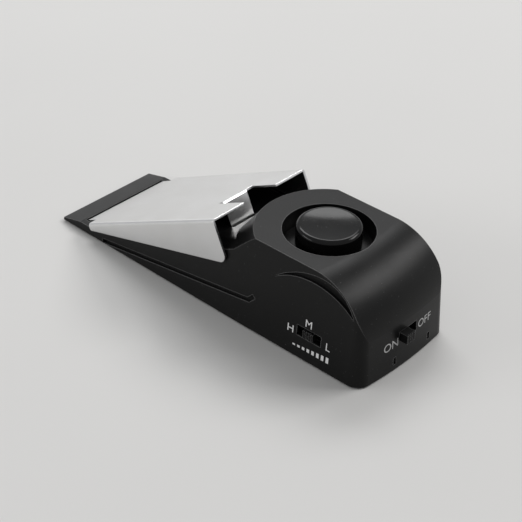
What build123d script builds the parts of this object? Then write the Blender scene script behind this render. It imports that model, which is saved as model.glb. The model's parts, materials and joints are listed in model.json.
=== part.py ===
from build123d import *
import os
from math import asin, atan2, cos, degrees, hypot, pi, radians, sin, sqrt, tan

# Door stop alarm. Lengths in mm. +X runs from the thin tip to the switch end, -Y is the side with
# the sensitivity switch, +Z is up, and the soles rest on Z = 0 with the origin under the middle.

# Overall form
length = 141.5
width = 45.0
height = 34.9
top_inset = 2.2
rear_bulge = 1.6
rear_corner_radius = 5.0
rear_bend_radius = 20.5
bend_spread_degrees = 15
bend_overshoot = 0.03
wall = 1.8
sole = 0.5
overrun = 60.0
fit_gap = 0.2
running_gap = 0.05

# Siren
siren_setback = 34.3
siren_rim_radius = 24.2
siren_slope = 7.2
siren_slope_height = 9.6
siren_recess_radius = 15.1
siren_recess_depth = 6.5
siren_floor = 1.6
siren_throat_radius = 8.7
cap_radius = 10.8
cap_rise = 2.2
cap_roof = 1.6
cap_lift = 1.5
cap_skirt = 1.2
cap_dish = 0.5
cap_dish_share = 0.75
cap_rim_width = 1.5
cap_edge_radius = 1.4
cap_legs = 3
cap_leg_radius = 1.0
ring_wall = 1.6
ring_height = 2.5
piezo_radius = 13.5
piezo_thickness = 0.3
ceramic_radius = 9.5
ceramic_thickness = 0.25

# Steel plate
sheet = 0.8
plate_tuck = 0.15
plate_clearance = 5.775
plate_rise = 0.16
hinge_setback = 11.3
pin_radius = 0.8
barrel_inset = 3.85
flange_depth_rear = 15.3
flange_depth_front = 2.6
flange_setback = 4.3
flange_corner_radius = 2.6
fold_radius = 1.2
notch_near = 7.6
notch_far = 8.0
notch_depth = 11.8
tongue_near = 6.6
tongue_far = 4.6
relief_radius = 0.6
hook_length = 4.2
hook_gap = 0.15
press_degrees = 2.6

# Wedge under the plate
deck_gap = 3.6
rear_deck_gap = 9.9
shelf_share = 0.69
toe_height = 1.5
cheek_height = 3.6
cheek_gap = 0.3
channel_play = 2.4
pin_bite = 1.8
toe_inset = 1.15
waist_setback = 54.4
solid_toe_share = 0.183
shoulder_inset = 7.5
shoulder_radius = 9.0
shoulder_degrees = 45
slot_play = 0.3

# Coil springs under the plate
spring_share = 0.575
spring_side_share = 0.28
spring_radius = 2.8
spring_wire = 0.7
spring_turns = 6
cup_radius = 3.7
cup_depth = 6.5
cup_wall = 1.2
spring_seat_gap = 0.1

# Grooves of the side walls
groove_width = 1.6
groove_depth = 1.1
groove_setback = 21.0
groove_start_z = 1.4
groove_end_setback = 48.5
groove_end_z = 11.4
groove_hook = 2.2
crescent_depth = 1.2
crescent_start_setback = 39.2
crescent_start_z = 24.6
crescent_shoulder_setback = 30.6
crescent_shoulder_z = 30.5
crescent_shoulder_width = 1.3
crescent_top_setback = 16.2
crescent_top_z = 32.8
crescent_top_width = 3.4
crescent_end_setback = 6.3
crescent_end_z = 24.4

# Switches in the walls
power_slot_length = 8.8
power_slot_height = 3.6
power_y = 0.4
power_z = 12.0
power_knob_length = 4.0
power_knob_height = 3.2
power_proud = 2.9
selector_setback = 22.7
selector_slot_length = 9.8
selector_slot_height = 3.8
selector_z = 10.6
selector_knob_length = 4.0
selector_knob_height = 3.0
selector_proud = 0.65
pad_play = 0.3
switch_length = 12.4
switch_height = 5.6
switch_depth = 4.6
recess_share = 0.48
stem_share = 0.35
knob_grooves = 3
knob_groove = 0.4
screw_cross_length = 2.4
screw_cross_width = 0.6
screw_cross_depth = 0.5
pad_margin = 1.5
power_pad_depth = 2.2
selector_pad_depth = 1.2

# Bottom
base_thickness = 2.0
base_gap = 0.2
slit_width = 1.2
slit_height = 2.6
slit_z = 2.6
slit_near_y = -6.0
slit_far_y = 12.0
post_radius = 2.6
screw_radius = 1.0
screw_head_radius = 2.0
screw_head_height = 1.0
screw_bite = 8.0
front_bite = 3.6
front_post_share = 0.315
front_post_inset = 9.7
rear_post_setback = 7.4
rear_post_inset = 6.5

# Battery and its door
battery_body = 46.4
battery_width = 26.5
battery_height = 17.5
battery_corner = 2.0
terminal_height = 2.1
terminal_spacing = 12.7
stud_radius = 2.8
socket_radius = 4.2
socket_sides = 6
snap_height = 3.3
snap_half_width = 11.5
snap_reach = 15.4
door_hinge_setback = 10.4
door_swing_gap = 0.4
door_margin = 0.1
door_pin_radius = 0.5
door_pin_length = 0.9
door_lug_y = 7.0
door_lug_width = 4.0
door_ear_length = 6.4
door_ear_width = 8.0
door_ear_thickness = 1.3
door_screw_setback = 4.0
door_boss_radius = 1.9
door_boss_height = 3.5
door_screw_radius = 0.8
door_screw_play = 0.45
door_screw_head = 1.6
door_screw_reach = 3.2
door_grip_setback = 4.0
door_grip_spacing = 1.2
door_grip_width = 0.4
door_grip_depth = 0.4
door_grips = 5
rail_front_gap = 0.8
rail_rear_gap = 3.6
rail_height = 5.0
stop_near_y = 3.5
stop_far_y = 7.5
stop_height = 9.5
rail_thickness = 1.2

# Board and what stands on it
rounding_share = 0.25
board_front_share = 0.403
board_rear_gap = 7.8
board_side_gap = 1.6
board_thickness = 1.6
board_lift = 2.0
board_boss_radius = 2.4
board_screw_radius = 0.8
board_screw_head = 1.6
board_screw_grip = 1.8
board_hole_inset = 2.7
board_hole_side_inset = 7.6
trigger_size = 7.6
trigger_height = 8.0
trigger_inset = 4.2
plunger_radius = 1.7
plunger_length = 7.0
plunger_gap = 0.3
trigger_floor = 2.4
chip_gap = 3.6
chip_length = 6.0
chip_width = 5.0
chip_height = 1.8
chip_dot_share = 0.125
coil_inset = 10.2
coil_y = -9.4
coil_size = 7.6
coil_height = 6.4
capacitor_inset = 9.8
capacitor_y = 9.0
capacitor_radius = 2.5
capacitor_height = 6.2
sensor_gap = 0.6
sensor_radius = 2.3
sensor_height = 9.0
transistor_inset = 5.4
transistor_hole_gap = 5.2
transistor_radius = 2.2
transistor_flat = 1.3
transistor_height = 4.5
resistor_inset = 6.4
resistor_hole_gap = 5.5
resistor_spacing = 2.6
resistor_count = 3
resistor_length = 3.2
resistor_width = 1.6
resistor_height = 0.6

# Soles
front_sole_gap = 0.65
front_sole_end_gap = 14.0
front_sole_inset = 6.0
rear_sole_setback = 2.8
rear_sole_length = 4.8
rear_sole_post_gap = 5.0
sole_hole_radius = 2.5
sole_corner_radius = 3.0

# Leads, each in the room that the pieces leave
lead_radius = 0.6
thin_lead_radius = 0.4
bend_share = 0.45
red_lead_setback = 1.7
red_lead_side_share = 0.46
black_lead_y = 4.5
switch_lead_gap = 2.8
switch_lead_start_y = 3.0
switch_lead_turn = 8.6
switch_lead_clearance = 0.6
switch_lead_lift = 1.3
lead_drop_gap = 4.6
siren_lead_inset = 2.6
siren_lead_start_y = 4.0
siren_lead_y = 10.5
siren_lead_lift = 1.0
selector_lead_inset = 2.0

# Places worked out from the sizes above
lean_share = top_inset / height
side_lean = degrees(atan2(top_inset, height))
knob_lean = power_z * lean_share
rear_x = length / 2 - power_proud + knob_lean
tip_x = -length / 2
siren_x = rear_x - siren_setback
waist_x = rear_x - waist_setback
hinge_x = tip_x + hinge_setback
plate_rear_x = siren_x - siren_rim_radius - plate_clearance
plate_rear_z = height + plate_rise
plate_run = plate_rear_x - hinge_x
toe_end_width = width - 2 * toe_inset
plate_half_width = width / 2 - plate_tuck
barrel_half_width = plate_half_width - barrel_inset
pin_half_length = barrel_half_width + cheek_gap + pin_bite
barrel_radius = pin_radius + running_gap + sheet
barrel_bore = pin_radius + running_gap
shelf_front_x = hinge_x + plate_run * shelf_share
solid_toe_length = hinge_setback + plate_run * solid_toe_share
spring_y = width * spring_side_share
front_post_x = hinge_x + plate_run * front_post_share
front_post_y = width / 2 - front_post_inset
rear_post_x = rear_x - rear_post_setback
rear_post_y = width / 2 - rear_post_inset
inner_half = width / 2 - wall


def half_width_at(z):
    """Half the width of the housing at height z."""
    return width / 2 - z * lean_share


# Hinge and plate plane. The plate's top is a line through its rear edge, tangent to the curl.
hinge_z = sole + barrel_radius + fit_gap
plate_climb = plate_rear_z - hinge_z
plate_reach = hypot(plate_run, plate_climb)
plate_angle = atan2(plate_climb, plate_run) - asin(barrel_radius / plate_reach)
plate_length = sqrt(plate_reach**2 - barrel_radius**2)
plate_slope = tan(plate_angle)
plate_side = Plane(
    origin=(hinge_x, 0, hinge_z),
    x_dir=(cos(plate_angle), 0, sin(plate_angle)),
    z_dir=(0, -1, 0),
)
plate_top = Plane(
    origin=(hinge_x, 0, hinge_z),
    x_dir=(cos(plate_angle), 0, sin(plate_angle)),
    z_dir=(-sin(plate_angle), 0, cos(plate_angle)),
)


def plate_z(x):
    """Height of the plate's top face at x."""
    return plate_rear_z - (plate_rear_x - x) * plate_slope


def save(piece, label):
    """Label a finished piece and write it under its own name."""
    piece.part.label = label
    export_step(piece.part, f"parts/{label}.step")


os.makedirs("parts", exist_ok=True)


# Outer and inner form of the housing
def rear_arc_radius(inset):
    half = width / 2
    return (half**2 + rear_bulge**2) / (2 * rear_bulge) - inset


def housing_form(inset, front_x):
    """The housing's leaning walls, bowed rear and rear bend, drawn in by inset on every side."""
    half = width / 2 - inset
    toe_half = toe_end_width / 2 - inset
    arc = rear_arc_radius(inset)
    centre_x = rear_x - rear_arc_radius(0)
    sag = arc - sqrt(arc**2 - half**2)
    rear = rear_x - inset
    bend = rear_bend_radius - inset
    lean = radians(side_lean)
    bend_z = height - rear_bend_radius + bend_overshoot
    bend_r = arc - (bend + bend_z * sin(lean)) / cos(lean) + bend_overshoot
    touch_r = bend_r + bend * cos(lean)
    touch_z = bend_z + bend * sin(lean)
    middle_turn = (pi / 2 + lean) / 2
    spread = radians(bend_spread_degrees)
    bend_plane = Plane(
        origin=(centre_x, 0, 0),
        x_dir=(cos(spread), -sin(spread), 0),
        z_dir=(-sin(spread), -cos(spread), 0),
    )
    with BuildPart() as form:
        with BuildSketch() as plan:
            with BuildLine():
                ThreePointArc((rear - sag, -half), (rear, 0), (rear - sag, half))
                Polyline(
                    (rear - sag, half),
                    (waist_x, half),
                    (front_x, toe_half),
                    (front_x, -toe_half),
                    (waist_x, -half),
                    (rear - sag, -half),
                )
            make_face()
            fillet(plan.vertices().sort_by(Axis.X)[-2:], rear_corner_radius - inset)
        extrude(amount=height - inset, taper=side_lean)
        with BuildSketch(bend_plane):
            with BuildLine():
                ThreePointArc(
                    (touch_r, touch_z),
                    (bend_r + bend * cos(middle_turn), bend_z + bend * sin(middle_turn)),
                    (bend_r, bend_z + bend),
                )
                Polyline(
                    (bend_r, bend_z + bend),
                    (bend_r, height + overrun),
                    (arc + overrun, height + overrun),
                    (arc + overrun, touch_z),
                    (touch_r, touch_z),
                )
            make_face()
        revolve(
            axis=Axis((centre_x, 0, 0), (0, 0, 1)),
            revolution_arc=2 * degrees(spread),
            mode=Mode.SUBTRACT,
        )
    return form.part


def front_relief(drop, shoulder):
    """Everything above the wedge and in front of the siren house, its floor lowered by drop."""
    slope_drop = drop / cos(plate_angle)
    shelf_z = plate_z(shelf_front_x) - deck_gap - drop
    cheek_z = cheek_height - drop
    front_deck_x = plate_rear_x - (plate_rear_z - deck_gap - slope_drop - cheek_z) / plate_slope
    shelf_start = plate_rear_x - (plate_rear_z - deck_gap - slope_drop - shelf_z) / plate_slope
    shelf_end = plate_rear_x - (plate_rear_z - rear_deck_gap - slope_drop - shelf_z) / plate_slope
    deck_end_z = plate_z(siren_x) - rear_deck_gap - slope_drop
    cone_drop = siren_slope_height + wall
    with BuildPart() as relief:
        with BuildSketch(Plane.XZ):
            with BuildLine():
                Polyline(
                    (tip_x - overrun, toe_height - drop),
                    (tip_x, toe_height - drop),
                    (hinge_x - barrel_radius - sheet, cheek_z),
                    (front_deck_x, cheek_z),
                    (shelf_start, shelf_z),
                    (shelf_end, shelf_z),
                    (siren_x, deck_end_z),
                    (siren_x, height + overrun),
                    (tip_x - overrun, height + overrun),
                    close=True,
                )
            make_face()
        extrude(amount=width, both=True)
        if shoulder:
            turn = radians(shoulder_degrees)
            with BuildSketch(Plane.YZ.offset(shelf_end)):
                for side in (-1, 1):
                    edge_y = side * (width / 2 - shoulder_inset)
                    middle_y = edge_y + side * shoulder_radius * sin(turn / 2)
                    middle_z = shelf_z - shoulder_radius * (1 - cos(turn / 2))
                    low_y = edge_y + side * shoulder_radius * sin(turn)
                    low_z = shelf_z - shoulder_radius * (1 - cos(turn))
                    with BuildLine():
                        ThreePointArc((edge_y, shelf_z), (middle_y, middle_z), (low_y, low_z))
                        Polyline(
                            (low_y, low_z),
                            (edge_y + side * shoulder_radius, low_z),
                            (edge_y + side * shoulder_radius, shelf_z),
                            (edge_y, shelf_z),
                        )
                    make_face()
            extrude(
                amount=(siren_x - shelf_end) / cos(plate_angle),
                dir=(cos(plate_angle), 0, sin(plate_angle)),
            )
        with BuildSketch(Plane.XZ.shift_origin((siren_x, 0, 0))):
            rim = siren_rim_radius - drop
            foot = rim + siren_slope / siren_slope_height * (height + cone_drop)
            with BuildLine():
                Polyline(
                    (0, height - drop),
                    (rim, height - drop),
                    (foot, -cone_drop),
                    (0, -cone_drop),
                    close=True,
                )
            make_face()
        revolve(axis=Axis((siren_x, 0, 0), (0, 0, 1)), mode=Mode.SUBTRACT)
    return relief.part


# Heights and places shared by the inside
base_top = sole + base_thickness
shelf_z = plate_z(shelf_front_x) - deck_gap
deck_level = barrel_radius - deck_gap * cos(plate_angle)
recess_z = height - siren_recess_depth
ring_z = recess_z - siren_floor
piezo_z = ring_z - ring_height - piezo_thickness
spring_u = plate_run * spring_share / cos(plate_angle)
board_z = base_top + board_lift
board_top = board_z + board_thickness
power_face_x = rear_x - wall - power_pad_depth
selector_x = rear_x - selector_setback
battery_z = base_top + base_gap
battery_top = battery_z + battery_height
door_hinge_x = rear_x - door_hinge_setback
door_axis_z = sole + base_thickness / 2
door_rear_x = door_hinge_x - base_thickness / 2 - door_swing_gap
door_length = battery_body + terminal_height + door_margin
door_half_width = battery_width / 2 - running_gap
door_front_x = door_rear_x - door_length
door_screw_x = door_front_x - door_screw_setback
opening_half = door_half_width + fit_gap
rail_outer = opening_half + rail_thickness
battery_front_x = door_front_x + fit_gap
battery_end_x = battery_front_x + battery_body
selector_face_y = -(inner_half - selector_pad_depth)
selector_depth = -selector_face_y - rail_outer - cheek_gap
board_front_x = hinge_x + plate_run * board_front_share
board_rear_x = door_front_x - board_rear_gap
board_half_width = inner_half - board_side_gap
board_hole_y = board_half_width - board_hole_side_inset
trigger_x = board_rear_x - trigger_inset
sensor_x = trigger_x - trigger_size / 2 - sensor_gap - sensor_radius
chip_x = sensor_x - sensor_radius - chip_gap - chip_length / 2
front_posts = [(front_post_x, side * front_post_y) for side in (-1, 1)]
rear_posts = [(rear_post_x, side * rear_post_y) for side in (-1, 1)]
slits = [slit_near_y, slit_far_y]

# Tongue of the plate and the hook at its end, which lies level under the wedge's shelf
plate_under = barrel_radius - sheet
hook_top = shelf_z - wall - hook_gap
hook_under = hook_top - sheet
tongue_rear_u = plate_length - notch_depth + sheet
tongue_front_u = tongue_rear_u - sheet


def on_plate(u, w):
    """The place (x, z) at u along the plate and w square to it."""
    x = hinge_x + u * cos(plate_angle) - w * sin(plate_angle)
    return (x, hinge_z + u * sin(plate_angle) + w * cos(plate_angle))


def tongue_x(u, z, press):
    """Where a tongue face crosses height z with the plate pressed down by an angle."""
    turn = plate_angle - radians(press)
    w = (z - hinge_z - u * sin(turn)) / cos(turn)
    return hinge_x + u * cos(turn) - w * sin(turn)


slot_front_x = tongue_x(tongue_front_u, shelf_z + sheet, press_degrees) - slot_play
slot_rear_x = tongue_x(tongue_rear_u, hook_top, 0) + slot_play


def block(xs, ys, zs, mode=Mode.ADD):
    """A block between two places along each axis."""
    with BuildSketch(Plane.XY.offset(zs[0])) as outline:
        with Locations(((xs[0] + xs[1]) / 2, (ys[0] + ys[1]) / 2)):
            Rectangle(xs[1] - xs[0], ys[1] - ys[0])
    extrude(outline.sketch, amount=zs[1] - zs[0], mode=mode)


def upright(places, radius, zs, mode=Mode.ADD):
    """Upright rods of one radius between two heights, one at each place."""
    with BuildSketch(Plane.XY.offset(zs[0])) as outline:
        with Locations(*places):
            Circle(radius)
    extrude(outline.sketch, amount=zs[1] - zs[0], mode=mode)


def cross_rod(x, z, radius, ys, mode=Mode.ADD):
    """A rod along Y between two places."""
    with BuildSketch(Plane.XZ.offset(-ys[1])) as outline:
        with Locations((x, z)):
            Circle(radius)
    extrude(outline.sketch, amount=ys[1] - ys[0], mode=mode)


def spring_cups(radius, depth, height_above, mode):
    """Round cups square to the plate, one under each spring."""
    with BuildSketch(plate_top.offset(deck_level - depth)) as outline:
        with Locations((spring_u, -spring_y), (spring_u, spring_y)):
            Circle(radius)
    extrude(outline.sketch, amount=depth + height_above, mode=mode)


def around(middle, size):
    """The two ends of a stretch of this size about its middle."""
    return (middle - size / 2, middle + size / 2)


# Hollow of the housing. Cups, posts and switch beds are left standing in it.
with BuildPart() as hollow:
    add(housing_form(wall, tip_x))
    add(front_relief(wall, False), mode=Mode.SUBTRACT)
    block(
        (tip_x - overrun, tip_x + solid_toe_length),
        (-width, width),
        (-overrun, overrun),
        mode=Mode.SUBTRACT,
    )
    upright([(siren_x, 0)], siren_recess_radius + wall, (ring_z, height), mode=Mode.SUBTRACT)
    spring_cups(cup_radius + cup_wall, cup_depth + cup_wall, height, Mode.SUBTRACT)
    upright(front_posts + rear_posts, post_radius, (base_top, height), mode=Mode.SUBTRACT)
    block(
        (power_face_x, length),
        around(power_y, power_slot_length + 2 * pad_margin),
        around(power_z, power_slot_height + 2 * pad_margin),
        mode=Mode.SUBTRACT,
    )
    block(
        around(selector_x, selector_slot_length + 2 * pad_margin),
        (-width, selector_face_y),
        around(selector_z, selector_slot_height + 2 * pad_margin),
        mode=Mode.SUBTRACT,
    )

# Grooves cut in the near wall. The far wall has the same ones, mirrored.
wall_lean = radians(side_lean)
waist_turn = atan2((width - toe_end_width) / 2, waist_x - tip_x)
rear_wall_plane = Plane(
    origin=(waist_x, -width / 2, 0),
    x_dir=(1, 0, 0),
    z_dir=(0, -cos(wall_lean), sin(wall_lean)),
)
front_wall_plane = Plane(
    origin=(waist_x, -width / 2, 0),
    x_dir=(cos(waist_turn), -sin(waist_turn), 0),
    z_dir=(
        -sin(waist_turn) * cos(wall_lean),
        -cos(waist_turn) * cos(wall_lean),
        sin(wall_lean),
    ),
)
with BuildPart() as side_grooves:
    with BuildSketch(front_wall_plane.offset(-groove_depth)):
        with BuildLine():
            Polyline(
                (tip_x + groove_setback - waist_x, groove_start_z),
                (waist_setback - groove_end_setback, groove_end_z),
                (waist_setback - groove_end_setback + groove_hook, groove_end_z + groove_hook),
            )
        trace(line_width=groove_width)
    extrude(amount=groove_depth + wall)
    with BuildSketch(rear_wall_plane.offset(-crescent_depth)):
        with BuildLine():
            for width_share in (0, 1):
                Spline(
                    (waist_setback - crescent_start_setback, crescent_start_z),
                    (
                        waist_setback - crescent_shoulder_setback,
                        crescent_shoulder_z - width_share * crescent_shoulder_width,
                    ),
                    (
                        waist_setback - crescent_top_setback,
                        crescent_top_z - width_share * crescent_top_width,
                    ),
                    (waist_setback - crescent_end_setback, crescent_end_z),
                )
        make_face()
    extrude(amount=crescent_depth + wall)

# Upper shell: the whole black housing, with the wedge under the plate
with BuildPart() as upper_shell:
    add(housing_form(0, tip_x))
    add(front_relief(0, True), mode=Mode.SUBTRACT)
    add(hollow.part, mode=Mode.SUBTRACT)
    block((-length, length), (-width, width), (-overrun, sole), mode=Mode.SUBTRACT)
    upright([(siren_x, 0)], siren_recess_radius, (recess_z, height), mode=Mode.SUBTRACT)
    upright([(siren_x, 0)], siren_throat_radius, (ring_z, recess_z), mode=Mode.SUBTRACT)
    spring_cups(cup_radius, cup_depth, height, Mode.SUBTRACT)
    upright(front_posts, screw_radius, (base_top, base_top + front_bite), mode=Mode.SUBTRACT)
    upright(rear_posts, screw_radius, (base_top, base_top + screw_bite), mode=Mode.SUBTRACT)
    block(
        (hinge_x - barrel_radius - cheek_gap, hinge_x + barrel_radius + channel_play),
        around(0, 2 * (barrel_half_width + cheek_gap)),
        (0, height),
        mode=Mode.SUBTRACT,
    )
    cross_rod(hinge_x, hinge_z, pin_radius, around(0, 2 * pin_half_length), mode=Mode.SUBTRACT)
    block(
        (slot_front_x, slot_rear_x),
        (-tongue_near - slot_play, tongue_far + slot_play),
        (base_top, shelf_z + wall),
        mode=Mode.SUBTRACT,
    )
    block(
        (power_face_x, length),
        around(power_y, power_slot_length),
        around(power_z, power_slot_height),
        mode=Mode.SUBTRACT,
    )
    block(
        around(selector_x, selector_slot_length),
        (-width, selector_face_y),
        around(selector_z, selector_slot_height),
        mode=Mode.SUBTRACT,
    )
    for slit_y in slits:
        block(
            (rear_x - 2 * wall, length),
            around(slit_y, slit_width),
            (slit_z, slit_z + slit_height),
            mode=Mode.SUBTRACT,
        )
    add(side_grooves.part, mode=Mode.SUBTRACT)
    add(mirror(side_grooves.part, about=Plane.XZ, mode=Mode.PRIVATE), mode=Mode.SUBTRACT)
save(upper_shell, "upper_shell")

# Siren cap: a dished round lid on three short legs, standing in the ring
cap_top = height + cap_rise
cap_foot = recess_z + cap_lift
cap_inner_z = cap_top - cap_dish - cap_roof
dish_end = cap_radius - cap_rim_width
with BuildPart() as siren_cap:
    with BuildSketch(Plane.XZ.shift_origin((siren_x, 0, 0))) as cap_profile:
        with BuildLine():
            ThreePointArc(
                (0, cap_top - cap_dish),
                (dish_end / 2, cap_top - cap_dish * cap_dish_share),
                (dish_end, cap_top),
            )
            Polyline(
                (dish_end, cap_top),
                (cap_radius, cap_top),
                (cap_radius, cap_foot),
                (cap_radius - cap_skirt, cap_foot),
                (cap_radius - cap_skirt, cap_inner_z),
                (0, cap_inner_z),
                (0, cap_top - cap_dish),
            )
        make_face()
        fillet(cap_profile.vertices().group_by(Axis.Y)[-1].sort_by(Axis.X)[-1], cap_edge_radius)
    revolve(axis=Axis((siren_x, 0, 0), (0, 0, 1)))
    for leg in range(cap_legs):
        leg_turn = 2 * pi * leg / cap_legs
        leg_x = siren_x + dish_end * cos(leg_turn)
        leg_y = dish_end * sin(leg_turn)
        upright([(leg_x, leg_y)], cap_leg_radius, (recess_z, cap_inner_z + fit_gap))
save(siren_cap, "siren_cap")

# Sounder: a ring under the siren floor, with the brass disc and its ceramic face below it
with BuildPart() as siren_ring:
    upright([(siren_x, 0)], piezo_radius, (ring_z - ring_height, ring_z))
    upright([(siren_x, 0)], piezo_radius - ring_wall, (ring_z - ring_height, ring_z), mode=Mode.SUBTRACT)
save(siren_ring, "siren_ring")

with BuildPart() as piezo_plate:
    upright([(siren_x, 0)], piezo_radius, (piezo_z, piezo_z + piezo_thickness))
save(piezo_plate, "piezo_plate")

with BuildPart() as piezo_ceramic:
    upright([(siren_x, 0)], ceramic_radius, (piezo_z - ceramic_thickness, piezo_z))
save(piezo_ceramic, "piezo_ceramic")

# Steel plate: a folded sheet with side flanges, a curl round the pin, a notch and a tongue
with BuildPart() as strike_plate:
    with BuildSketch(plate_side) as flange:
        with BuildLine():
            Polyline(
                (flange_setback, barrel_radius),
                (plate_length, barrel_radius),
                (plate_length, barrel_radius - flange_depth_rear),
                (flange_setback, barrel_radius - flange_depth_front),
                close=True,
            )
        make_face()
        fillet(flange.vertices().sort_by(Axis.Y)[0], flange_corner_radius)
        fillet(flange.vertices().sort_by(Axis.X)[0], sheet)
    extrude(amount=plate_half_width, both=True)
    top_face = strike_plate.faces().sort_by(Axis(plate_top.origin, plate_top.z_dir))[-1]
    fillet(top_face.edges().filter_by(Axis(plate_top.origin, plate_top.x_dir)), fold_radius)
    with BuildSketch(plate_side):
        with BuildLine():
            Polyline(
                (-overrun, plate_under),
                (plate_length + overrun, plate_under),
                (plate_length + overrun, -overrun),
                (-overrun, -overrun),
                close=True,
            )
        make_face()
    extrude(amount=plate_half_width - sheet, both=True, mode=Mode.SUBTRACT)
    with BuildSketch(plate_side):
        Circle(barrel_radius)
        Circle(barrel_bore, mode=Mode.SUBTRACT)
        with Locations((barrel_radius, plate_under - fit_gap)):
            Rectangle(barrel_radius * 2, fit_gap * 2, mode=Mode.SUBTRACT)
        with Locations(((flange_setback + fold_radius) / 2, plate_under + sheet / 2)):
            Rectangle(flange_setback + fold_radius, sheet)
    extrude(amount=barrel_half_width, both=True)
    with BuildSketch(plate_top.offset(-overrun)):
        with Locations((plate_length, (notch_far - notch_near) / 2)):
            Rectangle(2 * notch_depth, notch_far + notch_near)
        with Locations((plate_length - notch_depth, -tongue_near - relief_radius)):
            Circle(relief_radius)
    extrude(amount=2 * overrun, mode=Mode.SUBTRACT)
    with BuildSketch(Plane.XZ.offset(-tongue_far)) as tongue:
        with BuildLine():
            Polyline(
                on_plate(tongue_front_u - sheet, barrel_radius),
                on_plate(tongue_rear_u, barrel_radius),
                (tongue_x(tongue_rear_u, hook_under, 0), hook_under),
                (tongue_x(tongue_rear_u, hook_under, 0) - hook_length, hook_under),
                (tongue_x(tongue_rear_u, hook_under, 0) - hook_length, hook_top),
                (tongue_x(tongue_front_u, hook_top, 0), hook_top),
                on_plate(tongue_front_u, plate_under),
                on_plate(tongue_front_u - sheet, plate_under),
                close=True,
            )
        make_face()
        fillet(tongue.vertices().sort_by(Axis.Y)[-1], sheet)
        fillet(tongue.vertices().group_by(Axis.Y)[0].sort_by(Axis.X)[-1], sheet)
    extrude(tongue.sketch, amount=tongue_near + tongue_far)
save(strike_plate, "strike_plate")

with BuildPart() as hinge_pin:
    cross_rod(hinge_x, hinge_z, pin_radius, around(0, 2 * pin_half_length))
save(hinge_pin, "hinge_pin")


# Coil springs: each is one round wire swept along quarter turns, its ends straight
def quarter_arcs(starts, headings):
    """Two arcs for each quarter turn, meeting with the same heading."""
    for first in range(len(starts) - 1):
        start = starts[first]
        end = starts[first + 1]
        t0 = headings[first]
        t1 = headings[first + 1]
        v = end - start
        t = t0 + t1
        facing = 2 * (1 - t0.dot(t1))
        reach = (sqrt(v.dot(t) ** 2 + facing * v.dot(v)) - v.dot(t)) / facing
        joint = (start + t0 * reach + end - t1 * reach) / 2
        TangentArc(start, joint, tangent=t0)
        TangentArc(joint, end, tangent=joint_heading(start, joint, t0))


def joint_heading(start, joint, t0):
    """The heading at the end of an arc that leaves start along t0 and ends at joint."""
    chord = (joint - start).normalized()
    return chord * (2 * chord.dot(t0)) - t0


def coil_spring(label, centre_y):
    """A spring standing square to the plate in its cup."""
    low = deck_level - cup_depth + spring_seat_gap + spring_wire
    high = plate_under - spring_seat_gap - spring_wire
    rise = (high - low) / spring_turns
    places = []
    headings = []
    for quarter in range(4 * spring_turns + 1):
        turn = quarter * pi / 2
        level = low + rise * quarter / 4
        local = Vector(
            spring_u + spring_radius * cos(turn),
            centre_y + spring_radius * sin(turn),
            level,
        )
        heading = Vector(-sin(turn), cos(turn), rise / (2 * pi * spring_radius)).normalized()
        places.append(plate_top.from_local_coords(local))
        ahead = plate_top.from_local_coords(local + heading)
        headings.append(ahead - places[-1])
    with BuildPart() as spring:
        with BuildLine() as coil:
            Line(places[0] - headings[0] * spring_wire, places[0])
            quarter_arcs(places, headings)
            Line(places[-1], places[-1] + headings[-1] * spring_wire)
        start = Plane(origin=places[0] - headings[0] * spring_wire, z_dir=headings[0])
        with BuildSketch(start) as section:
            Circle(spring_wire / 2)
        sweep(section.sketch, path=coil.wires()[0])
    save(spring, label)
    print(label, "gap between curls", round(rise - spring_wire, 2))


coil_spring("plate_spring_near", -spring_y)
coil_spring("plate_spring_far", spring_y)

# Base cover, with the battery's rails and stops, the board's bosses and the rear hooks
opening_reach = base_thickness / 2 + fit_gap
opening_rear_x = door_hinge_x - sqrt(opening_reach**2 - (base_thickness / 2) ** 2)
board_holes = [
    (x, side * board_hole_y)
    for x in (board_front_x + board_hole_inset, board_rear_x - board_hole_inset)
    for side in (-1, 1)
]


def rear_inner_x(y, z):
    """The inner face of the rear wall at y and z."""
    arc = rear_arc_radius(0)
    return rear_x - (arc - sqrt(arc**2 - y**2)) - z * lean_share - wall


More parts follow.
